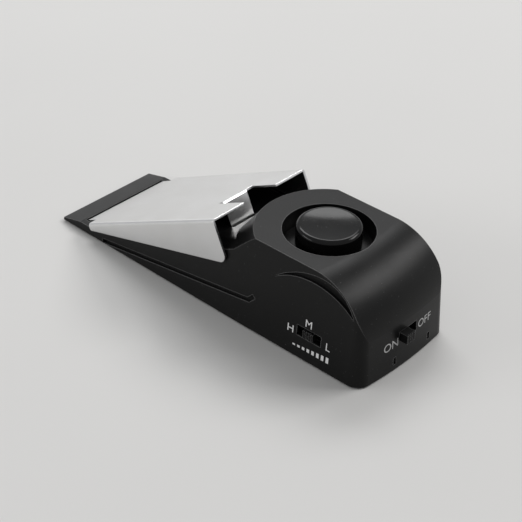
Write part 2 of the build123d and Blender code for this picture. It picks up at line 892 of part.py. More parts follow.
with BuildPart() as base_cover:
    add(housing_form(wall + fit_gap, tip_x))
    block((-length, length), (-width, width), (base_top, 2 * height), mode=Mode.SUBTRACT)
    block((-length, length), (-width, width), (-overrun, sole), mode=Mode.SUBTRACT)
    block(
        (-length, tip_x + solid_toe_length + fit_gap),
        (-width, width),
        (0, height),
        mode=Mode.SUBTRACT,
    )
    block(
        (door_front_x - fit_gap, opening_rear_x),
        (-opening_half, opening_half),
        (0, height),
        mode=Mode.SUBTRACT,
    )
    for side in (-1, 1):
        block(
            (door_front_x + rail_front_gap, battery_end_x - rail_rear_gap),
            sorted((side * opening_half, side * rail_outer)),
            (base_top, base_top + rail_height),
        )
        block(
            (door_front_x - fit_gap - rail_thickness, door_front_x - fit_gap),
            sorted((side * stop_near_y, side * stop_far_y)),
            (base_top, base_top + stop_height),
        )
        block(
            (opening_rear_x - fit_gap, door_hinge_x + opening_reach),
            around(side * door_lug_y, door_lug_width + 2 * fit_gap),
            (0, height),
            mode=Mode.SUBTRACT,
        )
        cross_rod(
            door_hinge_x,
            door_axis_z,
            door_pin_radius + running_gap,
            around(side * door_lug_y, door_lug_width + 2 * (door_pin_length + fit_gap)),
            mode=Mode.SUBTRACT,
        )
    upright([(door_screw_x, 0)], door_boss_radius, (base_top, base_top + door_boss_height))
    block(
        (door_front_x - door_ear_length - fit_gap, door_front_x),
        around(0, door_ear_width + 2 * fit_gap),
        (0, sole + door_ear_thickness + fit_gap / 2),
        mode=Mode.SUBTRACT,
    )
    upright(
        [(door_screw_x, 0)],
        door_screw_radius + door_screw_play,
        (sole, sole + base_thickness + door_screw_reach),
        mode=Mode.SUBTRACT,
    )
    upright(board_holes, board_boss_radius, (base_top, board_z))
    upright(board_holes, board_screw_radius, (board_z - board_screw_grip, board_z), Mode.SUBTRACT)
    upright(front_posts + rear_posts, screw_radius + fit_gap, (0, height), mode=Mode.SUBTRACT)
    upright(
        front_posts + rear_posts,
        screw_head_radius + fit_gap,
        (0, sole + screw_head_height),
        mode=Mode.SUBTRACT,
    )
    for slit_y in slits:
        wall_x = rear_inner_x(slit_y, slit_z + slit_height)
        block(
            (wall_x - wall / 2, wall_x - fit_gap),
            around(slit_y, slit_width - fit_gap),
            (base_top, slit_z + slit_height - fit_gap),
        )
        block(
            (wall_x - wall / 2, wall_x + wall - 2 * fit_gap),
            around(slit_y, slit_width - fit_gap),
            (slit_z + fit_gap, slit_z + slit_height - fit_gap),
        )
save(base_cover, "base_cover")

# Battery door with hinge lugs at its rear edge and a screwed ear at its front
with BuildPart() as battery_door:
    block((door_front_x, door_rear_x), around(0, 2 * door_half_width), (sole, base_top))
    for side in (-1, 1):
        block(
            (door_rear_x - fit_gap, door_hinge_x),
            around(side * door_lug_y, door_lug_width),
            (sole, base_top),
        )
        cross_rod(
            door_hinge_x,
            door_axis_z,
            base_thickness / 2,
            around(side * door_lug_y, door_lug_width),
        )
        cross_rod(
            door_hinge_x,
            door_axis_z,
            door_pin_radius,
            around(side * door_lug_y, door_lug_width + 2 * door_pin_length),
        )
    block(
        (door_front_x - door_ear_length, door_front_x + fit_gap),
        around(0, door_ear_width),
        (sole, sole + door_ear_thickness),
    )
    upright([(door_screw_x, 0)], door_screw_radius + fit_gap, (0, base_top), mode=Mode.SUBTRACT)
    upright(
        [(door_screw_x, 0)],
        door_screw_head + fit_gap,
        (0, sole + door_ear_thickness / 2),
        mode=Mode.SUBTRACT,
    )
    for grip in range(door_grips):
        block(
            around(door_front_x + door_grip_setback + grip * door_grip_spacing, door_grip_width),
            around(0, door_half_width),
            (0, sole + door_grip_depth),
            mode=Mode.SUBTRACT,
        )
save(battery_door, "battery_door")


def cross_recess(places, low_z):
    """The cross cut in a screw head that is seen from below."""
    with BuildSketch(Plane.XY.offset(low_z)) as cross:
        with Locations(*places):
            Rectangle(screw_cross_length, screw_cross_width)
            Rectangle(screw_cross_width, screw_cross_length)
    extrude(cross.sketch, amount=screw_cross_depth, mode=Mode.SUBTRACT)


with BuildPart() as door_screw:
    head_top = sole + door_ear_thickness / 2
    upright([(door_screw_x, 0)], door_screw_head, (sole, head_top))
    upright([(door_screw_x, 0)], door_screw_radius, (head_top, base_top + door_screw_reach / 2))
    cross_recess([(door_screw_x, 0)], sole)
save(door_screw, "door_screw")

with BuildPart() as housing_screws:
    upright(front_posts + rear_posts, screw_head_radius, (sole, sole + screw_head_height))
    upright(front_posts, screw_radius, (sole + screw_head_height, base_top + front_bite))
    upright(rear_posts, screw_radius, (sole + screw_head_height, base_top + screw_bite))
    cross_recess(front_posts + rear_posts, sole)
save(housing_screws, "housing_screws")

# Soft soles
front_sole_x = hinge_x + barrel_radius + channel_play + front_sole_gap
front_sole_end_x = door_front_x - front_sole_end_gap
rear_sole_end_x = rear_x - rear_sole_setback
rear_sole_x = rear_sole_end_x - rear_sole_length
rear_sole_half_width = rear_post_y - rear_sole_post_gap
with BuildPart() as front_sole_pad:
    with BuildSketch() as sole_outline:
        with Locations(((front_sole_x + front_sole_end_x) / 2, 0)):
            RectangleRounded(
                front_sole_end_x - front_sole_x,
                width - 2 * front_sole_inset,
                sole_corner_radius,
            )
        with Locations(*front_posts):
            Circle(sole_hole_radius, mode=Mode.SUBTRACT)
    extrude(amount=sole)
save(front_sole_pad, "front_sole_pad")

with BuildPart() as rear_sole_pad:
    with BuildSketch() as sole_outline:
        with Locations(((rear_sole_x + rear_sole_end_x) / 2, 0)):
            RectangleRounded(
                rear_sole_end_x - rear_sole_x, 2 * rear_sole_half_width, sole_corner_radius / 2
            )
    extrude(amount=sole)
save(rear_sole_pad, "rear_sole_pad")

# Battery with its two terminals, and the snap that carries the leads
battery_middle_z = battery_z + battery_height / 2
with BuildPart() as battery_case:
    with BuildSketch(Plane.YZ.offset(battery_front_x)) as case_outline:
        with Locations((0, battery_middle_z)):
            RectangleRounded(battery_width, battery_height, battery_corner)
    extrude(amount=battery_body)
save(battery_case, "battery_case")


def terminal_pair(extra, length_x, mode=Mode.ADD):
    """The small stud and the wide socket on the battery's end."""
    with BuildSketch(Plane.YZ.offset(battery_end_x)) as rounds:
        with Locations((-terminal_spacing / 2, battery_middle_z)):
            Circle(stud_radius + extra)
        with Locations((terminal_spacing / 2, battery_middle_z)):
            RegularPolygon(socket_radius + extra, socket_sides)
    extrude(rounds.sketch, amount=length_x, mode=mode)


with BuildPart() as battery_terminals:
    terminal_pair(0, terminal_height)
save(battery_terminals, "battery_terminals")

with BuildPart() as battery_snap:
    block(
        (battery_end_x + fit_gap / 2, battery_end_x + snap_height),
        around(0, 2 * snap_half_width),
        around(battery_middle_z, snap_reach),
    )
    terminal_pair(fit_gap / 2, terminal_height, mode=Mode.SUBTRACT)
save(battery_snap, "battery_snap")

# Board and its parts
with BuildPart() as main_board:
    block(
        (board_front_x, board_rear_x),
        around(0, 2 * board_half_width),
        (board_z, board_top),
    )
    upright(board_holes, board_screw_radius + fit_gap / 2, (board_z, board_top), Mode.SUBTRACT)
save(main_board, "main_board")

with BuildPart() as board_screws:
    upright(board_holes, board_screw_head, (board_top, board_top + screw_head_height))
    upright(board_holes, board_screw_radius, (board_z - board_screw_grip, board_top))
save(board_screws, "board_screws")

with BuildPart() as alarm_chip:
    block(
        around(chip_x, chip_length),
        around(0, chip_width),
        (board_top, board_top + chip_height),
    )
    upright(
        [(chip_x - chip_length / 2, 0)],
        chip_width * chip_dot_share,
        (board_top + chip_height / 2, board_top + chip_height),
        mode=Mode.SUBTRACT,
    )
save(alarm_chip, "alarm_chip")

with BuildPart() as siren_coil:
    block(
        around(board_rear_x - coil_inset, coil_size),
        around(coil_y, coil_size),
        (board_top, board_top + coil_height),
    )
    fillet(siren_coil.edges().filter_by(Axis.Z), fold_radius)
save(siren_coil, "siren_coil")

with BuildPart() as filter_capacitor:
    upright(
        [(board_rear_x - capacitor_inset, capacitor_y)],
        capacitor_radius,
        (board_top, board_top + capacitor_height),
    )
    fillet(filter_capacitor.faces().sort_by(Axis.Z)[-1].edges(), capacitor_radius * rounding_share / 2)
save(filter_capacitor, "filter_capacitor")

with BuildPart() as vibration_sensor:
    upright([(sensor_x, 0)], sensor_radius, (board_top, board_top + sensor_height))
    fillet(vibration_sensor.faces().sort_by(Axis.Z)[-1].edges(), sensor_radius * rounding_share)
save(vibration_sensor, "vibration_sensor")

with BuildPart() as drive_transistor:
    upright(
        [(board_front_x + transistor_inset, board_hole_y - transistor_hole_gap)],
        transistor_radius,
        (board_top, board_top + transistor_height),
    )
    block(
        (
            board_front_x + transistor_inset + transistor_flat,
            board_front_x + transistor_inset + transistor_radius,
        ),
        around(board_hole_y - transistor_hole_gap, 2 * transistor_radius),
        (board_top, board_top + transistor_height),
        mode=Mode.SUBTRACT,
    )
save(drive_transistor, "drive_transistor")

with BuildPart() as resistors:
    for place in range(resistor_count):
        block(
            around(board_front_x + resistor_inset, resistor_length),
            around(resistor_hole_gap - board_hole_y - place * resistor_spacing, resistor_width),
            (board_top, board_top + resistor_height),
        )
save(resistors, "resistors")

# Push switch under the hook: a case and its plunger
with BuildPart() as trigger_switch:
    block(
        around(trigger_x, trigger_size),
        around(0, trigger_size),
        (board_top, board_top + trigger_height),
    )
    upright(
        [(trigger_x, 0)],
        plunger_radius + running_gap,
        (board_top + trigger_floor, board_top + trigger_height),
        mode=Mode.SUBTRACT,
    )
save(trigger_switch, "trigger_switch")

plunger_top = hook_under - plunger_gap
with BuildPart() as trigger_plunger:
    upright([(trigger_x, 0)], plunger_radius, (plunger_top - plunger_length, plunger_top))
    fillet(trigger_plunger.faces().sort_by(Axis.Z)[-1].edges(), plunger_radius * rounding_share)
save(trigger_plunger, "trigger_plunger")


# Slide switches: cases with a window, and the knobs that slide in them
def groove_places(middle, size):
    """Evenly spaced places for the finger grooves of a knob."""
    spacing = size / (knob_grooves + 1)
    return [middle - size / 2 + spacing * (groove + 1) for groove in range(knob_grooves)]


power_knob_y = power_y - (power_slot_length - power_knob_length) / 2 + pad_play
with BuildPart() as power_switch:
    block(
        (power_face_x - switch_depth, power_face_x),
        around(power_y, switch_length),
        around(power_z, switch_height),
    )
    block(
        (power_face_x - switch_depth * recess_share, power_face_x),
        around(power_y, power_slot_length),
        around(power_z, power_slot_height),
        mode=Mode.SUBTRACT,
    )
save(power_switch, "power_switch")

with BuildPart() as power_knob:
    block(
        (power_face_x - switch_depth * stem_share, length / 2),
        around(power_knob_y, power_knob_length),
        around(power_z, power_knob_height),
    )
    for groove_y in groove_places(power_knob_y, power_knob_length):
        block(
            (length / 2 - knob_groove, length / 2),
            around(groove_y, knob_groove),
            around(power_z, power_knob_height),
            mode=Mode.SUBTRACT,
        )
save(power_knob, "power_knob")

with BuildPart() as selector_switch:
    block(
        around(selector_x, switch_length),
        (selector_face_y, selector_face_y + selector_depth),
        around(selector_z, switch_height),
    )
    block(
        around(selector_x, selector_slot_length),
        (selector_face_y, selector_face_y + selector_depth * recess_share),
        around(selector_z, selector_slot_height),
        mode=Mode.SUBTRACT,
    )
save(selector_switch, "selector_switch")

selector_out_y = -half_width_at(selector_z) - selector_proud
with BuildPart() as selector_knob:
    block(
        around(selector_x, selector_knob_length),
        (selector_out_y, selector_face_y + selector_depth * stem_share),
        around(selector_z, selector_knob_height),
    )
    for groove_x in groove_places(selector_x, selector_knob_length):
        block(
            around(groove_x, knob_groove),
            (selector_out_y, selector_out_y + knob_groove),
            around(selector_z, selector_knob_height),
            mode=Mode.SUBTRACT,
        )
save(selector_knob, "selector_knob")


# Leads, each one round tube along its own route
def lead_tube(label, routes, radius):
    """One tube for each route, with arcs at the corners as large as the runs allow."""
    with BuildPart() as tubes:
        for points in routes:
            corners = [Vector(*point) for point in points]
            radii = []
            for before, corner, after in zip(corners, corners[1:], corners[2:]):
                run = min((corner - before).length, (after - corner).length)
                turn = radians((corner - before).get_angle(after - corner))
                radii.append(bend_share * run / tan(turn / 2))
            with BuildLine() as route:
                if radii:
                    FilletPolyline(*corners, radius=radii)
                else:
                    Line(*corners)
            start = Plane(origin=corners[0], z_dir=corners[1] - corners[0])
            with BuildSketch(start) as section:
                Circle(radius)
            sweep(section.sketch, path=route.wires()[0])
            ideal = pi * radius**2 * route.wires()[0].length
            print(label, "radii", [round(bend, 2) for bend in radii], "ideal volume", round(ideal, 2))
    print(label, "volume", round(tubes.part.volume, 2))
    save(tubes, label)


lead_z = board_z + board_thickness / 2
lead_drop_x = door_front_x - lead_drop_gap
red_lead_x = battery_end_x + red_lead_setback
red_lead_y = -(rail_outer + (inner_half - rail_outer) * red_lead_side_share)
switch_lead_start_x = power_face_x - switch_lead_gap
switch_lead_y = siren_lead_y + lead_radius + thin_lead_radius + switch_lead_clearance
switch_lead_z = battery_top + switch_lead_lift
siren_lead_x = siren_x - piezo_radius + siren_lead_inset
siren_lead_z = battery_top + siren_lead_lift
selector_lead_y = selector_face_y + selector_depth / 2
selector_lead_x = board_rear_x - selector_lead_inset
lead_tube(
    "battery_lead_red",
    [
        [
            (red_lead_x, -snap_half_width, lead_z),
            (red_lead_x, red_lead_y, lead_z),
            (board_rear_x, red_lead_y, lead_z),
        ]
    ],
    lead_radius,
)
lead_tube(
    "battery_lead_black",
    [
        [
            (battery_end_x + snap_height, black_lead_y, power_z),
            (power_face_x - switch_depth, black_lead_y, power_z),
        ]
    ],
    lead_radius,
)
lead_tube(
    "switch_lead",
    [
        [
            (switch_lead_start_x, switch_lead_start_y, power_z + switch_height / 2),
            (switch_lead_start_x, switch_lead_start_y, switch_lead_z),
            (switch_lead_start_x - switch_lead_turn, switch_lead_y, switch_lead_z),
            (lead_drop_x, switch_lead_y, switch_lead_z),
            (lead_drop_x, switch_lead_y, lead_z),
            (board_rear_x, switch_lead_y, lead_z),
        ]
    ],
    lead_radius,
)
lead_tube(
    "siren_leads",
    [
        [
            (siren_lead_x, side * siren_lead_start_y, piezo_z),
            (siren_lead_x, side * siren_lead_start_y, siren_lead_z),
            (lead_drop_x, side * siren_lead_y, siren_lead_z),
            (lead_drop_x, side * siren_lead_y, lead_z),
            (board_rear_x, side * siren_lead_y, lead_z),
        ]
        for side in (-1, 1)
    ],
    thin_lead_radius,
)
lead_tube(
    "selector_lead",
    [
        [
            (selector_x - switch_length / 2, selector_lead_y, selector_z),
            (selector_lead_x, selector_lead_y, selector_z),
            (selector_lead_x, selector_lead_y, board_top),
        ]
    ],
    thin_lead_radius,
)
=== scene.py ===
# %% [markdown]
# # A door stop alarm
#
# The real object is a black plastic wedge with a siren at its thick end and a folded steel plate
# hinged at its thin end. Pressing the plate down sets the siren off. The shapes could be modelled
# here, but they were made beforehand as exact solids and are loaded as a fixed frame, so this
# notebook is about looks alone. It gives the solids their surfaces, adds what is only printed on
# them, and sets up a small studio. Everything is in metres, in the frame of the solids: +X runs
# from the thin tip to the switches, +Z is up, and the origin lies on the floor under the middle.
# The near side is the one towards -Y.

import json
from math import asin, atan2, cos, degrees, hypot, sin, sqrt

import bmesh
import bpy
from mathutils import Matrix, Vector


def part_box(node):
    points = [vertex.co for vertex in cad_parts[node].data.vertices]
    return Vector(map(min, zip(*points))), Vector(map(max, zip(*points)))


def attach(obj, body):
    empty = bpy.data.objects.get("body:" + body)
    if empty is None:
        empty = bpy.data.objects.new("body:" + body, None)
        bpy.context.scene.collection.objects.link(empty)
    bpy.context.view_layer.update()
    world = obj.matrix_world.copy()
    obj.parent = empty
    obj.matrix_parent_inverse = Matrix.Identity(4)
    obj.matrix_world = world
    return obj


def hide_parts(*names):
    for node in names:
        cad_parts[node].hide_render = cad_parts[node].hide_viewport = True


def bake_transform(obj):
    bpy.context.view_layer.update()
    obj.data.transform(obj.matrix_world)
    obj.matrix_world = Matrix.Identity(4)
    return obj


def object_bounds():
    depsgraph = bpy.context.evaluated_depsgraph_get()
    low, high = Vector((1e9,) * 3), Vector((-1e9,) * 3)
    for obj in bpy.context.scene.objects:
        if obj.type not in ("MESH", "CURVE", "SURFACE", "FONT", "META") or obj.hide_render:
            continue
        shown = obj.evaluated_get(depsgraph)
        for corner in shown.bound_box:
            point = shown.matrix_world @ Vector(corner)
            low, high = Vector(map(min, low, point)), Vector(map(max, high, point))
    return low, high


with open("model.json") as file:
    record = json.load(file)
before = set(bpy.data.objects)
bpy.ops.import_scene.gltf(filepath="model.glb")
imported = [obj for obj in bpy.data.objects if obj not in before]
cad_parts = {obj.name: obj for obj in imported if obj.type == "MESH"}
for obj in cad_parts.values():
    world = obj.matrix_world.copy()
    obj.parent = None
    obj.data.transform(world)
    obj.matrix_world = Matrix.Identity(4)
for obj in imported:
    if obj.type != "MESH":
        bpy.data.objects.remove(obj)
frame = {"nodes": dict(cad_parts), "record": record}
solids_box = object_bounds()
MM = 0.001
box_size = [round(v, 4) for v in solids_box[1] - solids_box[0]]
print("solids loaded:", len(frame["nodes"]), "in a box of", box_size)

# %% [markdown]
# ## Camera
#
# The view is that of a long lens beyond the near rear corner, looking down at about 35 degrees. A
# camera can be aimed by eye, but here its place and its directions were worked out by fitting
# points of the object, so each piece lies in the picture where it should. A lens of about 97 mm
# keeps the perspective as flat as it should be.

# %% Camera
PICTURE_SIDE = 522
FOCAL_LENGTH_IN_PIXELS = 1412
SENSOR_WIDTH = 36.0
CAMERA_PLACE = Vector((264.43, -295.4, 281.5)) * MM
camera_lens = bpy.data.cameras.new("portrait_lens")
camera_lens.sensor_width = SENSOR_WIDTH
camera_lens.lens = FOCAL_LENGTH_IN_PIXELS / PICTURE_SIDE * SENSOR_WIDTH
camera = bpy.data.objects.new("portrait_camera", camera_lens)
bpy.context.scene.collection.objects.link(camera)
camera_right = Vector((0.7402, 0.6719, 0.0263)).normalized()
camera_back = Vector((0.5408, -0.6181, 0.5705)).normalized()
camera_up = camera_back.cross(camera_right).normalized()
camera_right = camera_up.cross(camera_back)
turned = Matrix((camera_right, camera_up, camera_back)).transposed().to_4x4()
camera.matrix_world = Matrix.Translation(CAMERA_PLACE) @ turned
bpy.context.scene.camera = camera
print("lens", round(camera_lens.lens, 1), "mm, distance", round(camera.location.length, 3), "m")

# %% [markdown]
# ## Sockets as numbers
#
# A shader is a sum of masks and noises. Wiring each Math node by hand works, but it hides that
# sum. So a small class wraps a node's output and answers to the arithmetic signs, and each sign
# adds its Math node. That keeps each finish below as short as the sentence that describes it.


# %% A socket that answers to + - *
class Wire:
    """An output of a node that can be added, subtracted and multiplied."""

    def __init__(self, nodes, socket):
        self.nodes = nodes
        self.socket = socket

    def joined(self, operation, first, second):
        sockets = {0: first, 1: second}
        return self.nodes.node("ShaderNodeMath", {"operation": operation}, sockets)

    def __add__(self, other):
        return self.joined("ADD", self, other)

    def __radd__(self, other):
        return self.joined("ADD", other, self)

    def __sub__(self, other):
        return self.joined("SUBTRACT", self, other)

    def __rsub__(self, other):
        return self.joined("SUBTRACT", other, self)

    def __mul__(self, other):
        return self.joined("MULTIPLY", self, other)

    def __rmul__(self, other):
        return self.joined("MULTIPLY", other, self)


print("a wire can also stand on the right:", [sign for sign in vars(Wire) if "__r" in sign])

# %% [markdown]
# ## One method for every other node
#
# What no sign can say comes from one method, so that a finish reads as a list of what it holds:
# the kind of node, then its settings, which have to be set first because some of them change the
# sockets, and then a number or a wire for each socket.


# %% A tree of nodes
class Nodes:
    """A node tree and the one way that a node is added to it."""

    def __init__(self, tree):
        self.tree = tree

    def node(self, kind, settings, sockets, output=0):
        """Add a node, set it, feed its sockets and give one of its outputs as a wire."""
        made = self.tree.nodes.new(kind)
        for key, value in settings.items():
            setattr(made, key, value)
        for key, value in sockets.items():
            if isinstance(value, Wire):
                self.tree.links.new(value.socket, made.inputs[key])
            else:
                made.inputs[key].default_value = value
        return Wire(self, made.outputs[output])


def grey(level):
    return (level, level, level, 1.0)


print("a mid grey is", grey(0.18))

# %% [markdown]
# ## One material
#
# Every finish below needs the same few things: noise of a given size, a soft step, a blend of two
# colours, and a way to find sharp edges. They could be repeated in each material, but one class
# holds them instead. Noise is read at a point's own place on the object, so it needs no
# unwrapping, has the same scale on every piece and moves with the piece.

# %% What every finish is made of
BEVEL_SAMPLES = 6
EDGE_BEGINS, EDGE_FULL = 0.01, 0.22  # 1 less the cosine between the rounded and flat normals
NOISE_MIDDLE = 0.5
FIRST_COLOUR, SECOND_COLOUR, MIXED_COLOUR = 6, 7, 2  # the Mix node's sockets for colours


class Finish(Nodes):
    """One material, from its first node to its last."""

    def __init__(self, name, constants):
        self.material = bpy.data.materials.new(name)
        self.material.use_nodes = True
        super().__init__(self.material.node_tree)
        self.shader = self.tree.nodes["Principled BSDF"]
        for socket, value in constants.items():
            self.shader.inputs[socket].default_value = value
        self.place = self.node("ShaderNodeTexCoord", {}, {}, "Object")

    def noise(self, size, detail=2.0, place=None):
        """Noise whose blotches are about size across, in metres."""
        sockets = {"Vector": place or self.place, "Scale": 1 / size, "Detail": detail}
        return self.node("ShaderNodeTexNoise", {}, sockets, "Fac")

    def swing(self, noise, amount):
        """The noise moved to swing about 0, times an amount."""
        return (noise - NOISE_MIDDLE) * amount

    def along(self, direction):
        """How far a point lies along a direction, in metres."""
        sockets = {0: self.place, 1: direction}
        return self.node("ShaderNodeVectorMath", {"operation": "DOT_PRODUCT"}, sockets, "Value")

    def stepped(self, value, low, high):
        """0 below low, 1 above high and a soft step between."""
        sockets = {"Value": value, "From Min": low, "From Max": high}
        return self.node("ShaderNodeMapRange", {"interpolation_type": "SMOOTHSTEP"}, sockets)

    def blend(self, mask, first, second):
        """The first colour where the mask is 0 and the second where it is 1."""
        sockets = {0: mask, FIRST_COLOUR: first, SECOND_COLOUR: second}
        return self.node("ShaderNodeMix", {"data_type": "RGBA"}, sockets, MIXED_COLOUR)

    def rounded(self, radius):
        """Normals as if every sharp edge had this radius."""
        return self.node("ShaderNodeBevel", {"samples": BEVEL_SAMPLES}, {"Radius": radius})

    def edges(self, rounding):
        """1 along sharp edges and 0 on the flats between them."""
        flat = self.node("ShaderNodeNewGeometry", {}, {}, "Normal")
        sockets = {0: rounding, 1: flat}
        agree = self.node("ShaderNodeVectorMath", {"operation": "DOT_PRODUCT"}, sockets, "Value")
        return self.stepped(1 - agree, EDGE_BEGINS, EDGE_FULL)

    def finish(self, colour, roughness=None, relief=None, depth=0.0, rounding=None):
        """Wire what varies into the shader and hand the material over."""
        if relief is not None:
            sockets = {"Height": relief, "Distance": depth, "Strength": 1.0}
            if rounding is not None:
                sockets["Normal"] = rounding
            rounding = self.node("ShaderNodeBump", {}, sockets, "Normal")
        wires = {"Base Color": colour, "Roughness": roughness, "Normal": rounding}
        for name, wire in wires.items():
            if wire is not None:
                self.tree.links.new(wire.socket, self.shader.inputs[name])
        return self.material


print("a finish can do", [name for name in vars(Finish) if not name.startswith("_")])

# %% [markdown]
# ## The black plastic
#
# The housing is moulded in a black plastic with a satin skin. A flat black would look like paint.
# Close up, such a skin is a fine grain etched into the mould, so the relief is noise about a sixth
# of a millimetre across. A slower noise makes the gloss uneven, as handling does, and a few pale
# specks are the dust that black plastic always shows. The edges of the solids are perfectly sharp,
# and no moulding is. They could be rounded in the mesh, but the solids stay as they are, so the
# Bevel node rounds the normals there. The same node tells where the edges are, and they are
# painted
# a lighter grey: partly wear, where hands rub them, and partly a painted highlight, the thin light
# line that a rounded edge catches. An Ambient Occlusion node lets that grey show only where a hand
# reaches, so the grooves stay dark, and it leaves the inside of the grooves rough, as a mould
# does where no one polishes. That node counts the piece itself alone, so a neighbour that moves
# leaves no mark.

# %% What black plastic is like
GRAIN_SIZE, SPECK_SIZE, CLOUD_SIZE, HANDLED_SIZE = 0.16 * MM, 0.55 * MM, 5 * MM, 18 * MM
SPECK_PEAKS = (0.735, 0.80)  # only these highest places of the noise are specks
WALL_DISTANCE, WALL_SAMPLES = 1.6 * MM, 8  # how near another wall has to be to count
# how much free air an edge needs before its wear and painted highlight show
OPEN_ENOUGH = (0.80, 0.97)  # how much free air a rubbed place has
WEAR_AND_HIGHLIGHT_WIDTH = 2.2  # in radii of the rounding
# the lighter grey on edges is partly wear and partly a painted highlight
EDGE_WEAR_AND_HIGHLIGHT = {"share": 0.85, "gain": 3.0, "grey": 0.17}
DUST = {"share": 0.30, "grey": 0.20}
SHADES = (0.8, 1.25)  # the darkest and the lightest skin, as shares of its level
ROUGHER = {"handled": 0.16, "cloud": 0.08, "rubbed": 0.07, "speck": 0.3, "hidden": 0.6}
CLOUD_RELIEF = 0.6
print("grain", GRAIN_SIZE / MM, "mm, specks", SPECK_SIZE / MM, "mm")


# %% Black plastic, in nine grades
def black_plastic(name, level, roughness, grain, edge_radius, shine):
    skin = Finish(name, {"Roughness": roughness, "Specular IOR Level": shine})
    rounding = skin.rounded(edge_radius)
    its_own = {"samples": WALL_SAMPLES, "only_local": True}
    near_walls = {"Distance": WALL_DISTANCE}
    within_reach = skin.node("ShaderNodeAmbientOcclusion", its_own, near_walls, "AO")
    # edges are painted a lighter grey: partly wear, partly a painted highlight
    edges = skin.edges(skin.rounded(edge_radius * WEAR_AND_HIGHLIGHT_WIDTH))
    rubbed = edges * skin.stepped(within_reach, *OPEN_ENOUGH)
    handled = skin.noise(HANDLED_SIZE, detail=4.0)
    cloud = skin.noise(CLOUD_SIZE, detail=3.0)
    speck = skin.stepped(skin.noise(SPECK_SIZE, detail=1.0), *SPECK_PEAKS)
    darkest, lightest = (grey(level * shade) for shade in SHADES)
    colour = skin.blend(handled, darkest, lightest)
    wear_and_highlight_grey = grey(level * EDGE_WEAR_AND_HIGHLIGHT["gain"] + EDGE_WEAR_AND_HIGHLIGHT["grey"])
    colour = skin.blend(rubbed * EDGE_WEAR_AND_HIGHLIGHT["share"], colour, wear_and_highlight_grey)
    colour = skin.blend(speck * DUST["share"], colour, grey(DUST["grey"]))
    gloss = skin.swing(handled, ROUGHER["handled"]) + skin.swing(cloud, ROUGHER["cloud"])
    gloss = gloss - rubbed * ROUGHER["rubbed"] + speck * ROUGHER["speck"]
    gloss = gloss + (1 - within_reach) * ROUGHER["hidden"] + roughness
    relief = skin.noise(GRAIN_SIZE) + cloud * CLOUD_RELIEF
    return skin.finish(colour, gloss, relief, grain, rounding)


plastics = {
    # slot: name, level, roughness, grain and edge radius in mm, shine
    "shell_plastic": ("satin_black_plastic", 0.0045, 0.36, 0.0055, 0.25, 0.16),
    "cap_plastic": ("polished_black_plastic", 0.004, 0.13, 0.001, 0.30, 0.18),
    "base_plastic": ("grained_black_plastic", 0.013, 0.55, 0.016, 0.20, 0.16),
    "knob_plastic": ("black_knob_plastic", 0.004, 0.48, 0.006, 0.14, 0.12),
    "ring_plastic": ("black_ring_plastic", 0.014, 0.50, 0.008, 0.15, 0.16),
    "snap_plastic": ("soft_black_snap", 0.016, 0.60, 0.012, 0.25, 0.16),
    "switch_case": ("dark_switch_case", 0.016, 0.34, 0.004, 0.12, 0.16),
    "chip_epoxy": ("black_epoxy", 0.02, 0.55, 0.010, 0.10, 0.16),
    "coil_case": ("dark_coil_case", 0.028, 0.48, 0.010, 0.15, 0.16),
}
finishes = {}
for slot, (name, level, roughness, grain, edge_radius, shine) in plastics.items():
    finishes[slot] = black_plastic(name, level, roughness, grain * MM, edge_radius * MM, shine)
print("black plastics:", sorted(finishes))

# %% [markdown]
# ## The steel plate
#
# The plate is bright stainless sheet, and rolling leaves lines along its length. A stretched
# picture of brushing could give them, but noise never repeats, so it serves better. It is
# stretched to 25 mm along the slope and is a twentieth of a millimetre across. The lines must run
# over the flat top and the side flanges alike, so the noise is read in the plate's own
# directions, along the slope and square to it. These follow from the hinge, the radius of the
# curl round its pin, and a place at the plate's rear.

# %% Places on the plate
HINGE = Vector((-59.45, 0, 2.35)) * MM
CURL_RADIUS = 1.65 * MM
PLATE_REAR = Vector((4.331, 0, 35.06)) * MM
slope = PLATE_REAR - HINGE
plate_lean = atan2(slope.z, slope.x) - asin(CURL_RADIUS / hypot(slope.x, slope.z))
uphill = (cos(plate_lean), 0, sin(plate_lean))
square = (-sin(plate_lean), 0, cos(plate_lean))
print("the plate leans", round(degrees(plate_lean), 2), "degrees")

# %% [markdown]
# ## Rolled and drawn metals
#
# Three noises make the metal: fine lines, bands of many lines, and the slow cloud that fingers
# and air leave on bare steel. They could change its colour, but on a mirror the eye sees the
# roughness first, so they change that more. The edges are painted a little brighter, partly as
# newly cut metal and partly as a painted highlight along the rim. The same recipe with other
# numbers serves the pin, the springs, the screws, the battery's terminals and the can of the
# capacitor.

# %% What bright metal is like
ACROSS = (0, 1, 0)
BAND_WIDTH = 30  # in widths of a line
STAIN_SIZE = 9 * MM
STAINED = (0.90, 0.90, 0.89)  # the darkest tone, as shares of the level
CLEAN_BLUE = 1.01
# edges painted brighter: partly newly cut metal, partly a painted highlight
CUT_EDGE_AND_HIGHLIGHT = {"share": 0.4, "gain": 1.18}
UNEVEN = {"lines": 0.14, "bands": 0.10, "stain": 0.10, "rubbed": 0.06}
BAND_RELIEF = 0.5
print("stains about", STAIN_SIZE / MM, "mm across")


